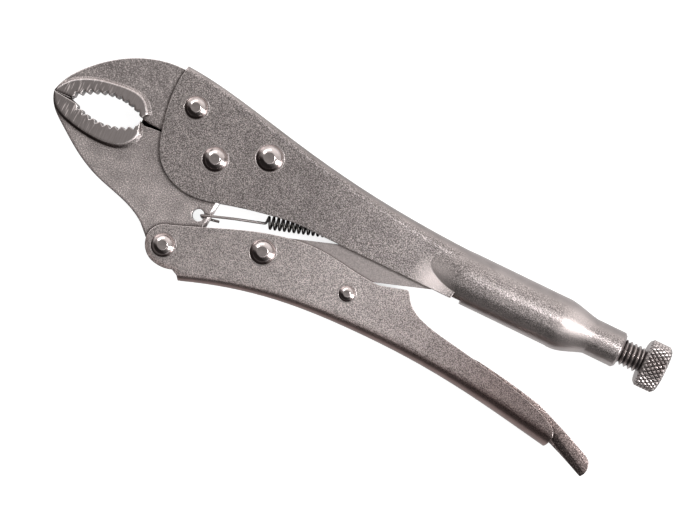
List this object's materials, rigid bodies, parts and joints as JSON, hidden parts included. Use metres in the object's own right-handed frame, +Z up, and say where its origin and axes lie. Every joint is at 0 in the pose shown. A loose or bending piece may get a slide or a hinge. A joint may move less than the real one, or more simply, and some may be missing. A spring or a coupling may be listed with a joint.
{
  "type": "locking pliers",
  "caption": "Locking pliers with curved toothed jaws, a spring-loaded toggle lever, a release lever and a knurled adjusting screw.",
  "frame": {"origin": "on the jaw pivot's axis, at the level of the rivet heads' flats that the tool lies on", "axes": "+X along the adjusting screw from the jaws to the knob, +Y from the lever to the upper handle's spine, +Z up along the pivots"},
  "size_m": [0.2475, 0.0734, 0.0185],
  "materials": {
    "blasted_nickel": "satin, bead-blasted nickel plate",
    "forged_steel": "forged and ground, nickel plate",
    "plain_steel": "plain steel",
    "bright_nickel": "bright nickel plate",
    "polished_rivet": "polished",
    "spring_wire": "drawn spring wire"
  },
  "bodies": {
    "handle": {"upper_handle": "blasted_nickel", "fixed_jaw": "forged_steel", "front_jaw_rivet": "polished_rivet", "rear_jaw_rivet": "polished_rivet", "jaw_pivot_rivet": "polished_rivet", "jaw_spring": "spring_wire"},
    "moving_jaw": {"moving_jaw": "forged_steel"},
    "lever": {"lever": "blasted_nickel", "lever_pivot_rivet": "polished_rivet", "link_rivet": "polished_rivet", "release_rivet": "polished_rivet"},
    "toggle_link": {"toggle_link": "plain_steel"},
    "release_lever": {"release_lever": "blasted_nickel"},
    "adjusting_screw": {"adjusting_screw": "plain_steel"},
    "adjusting_knob": {"adjusting_knob": "bright_nickel"}
  },
  "joints": [
    {"name": "jaw_pivot", "type": "hinge", "parent": "handle", "child": "moving_jaw", "pos_m": [0, 0, 0.00925], "axis": [0, 0, 1], "range_deg": [0, 20.05], "deforming": ["jaw_spring"]},
    {"name": "lever_pivot", "type": "hinge", "parent": "moving_jaw", "child": "lever", "pos_m": [-0.0036, -0.0367, 0.00925], "axis": [0, 0, 1], "range_deg": [-61.5, 0]},
    {"name": "link_pivot", "type": "hinge", "parent": "lever", "child": "toggle_link", "pos_m": [0.0305, -0.023, 0.00925], "axis": [0, 0, 1], "range_deg": [0, 65]},
    {"name": "release_pivot", "type": "hinge", "parent": "lever", "child": "release_lever", "pos_m": [0.0651, -0.0234, 0.00925], "axis": [0, 0, 1], "range_deg": [0, 6]},
    {"name": "screw_travel", "type": "slide", "parent": "handle", "child": "adjusting_screw", "axis": [1, 0, 0], "range_m": [0, 0.0245]},
    {"name": "knob_turn", "type": "hinge", "parent": "adjusting_screw", "child": "adjusting_knob", "pos_m": [0.1742, 0.0016, 0.00925], "axis": [1, 0, 0], "range_deg": [0, 5041]}
  ],
  "couplings": [
    {"joint": "jaw_pivot", "follows": "lever_pivot", "ratio": -0.325},
    {"joint": "link_pivot", "follows": "lever_pivot", "ratio": -1.055},
    {"joint": "knob_turn", "follows": "screw_travel", "rad_per_m": 3590.4}
  ]
}
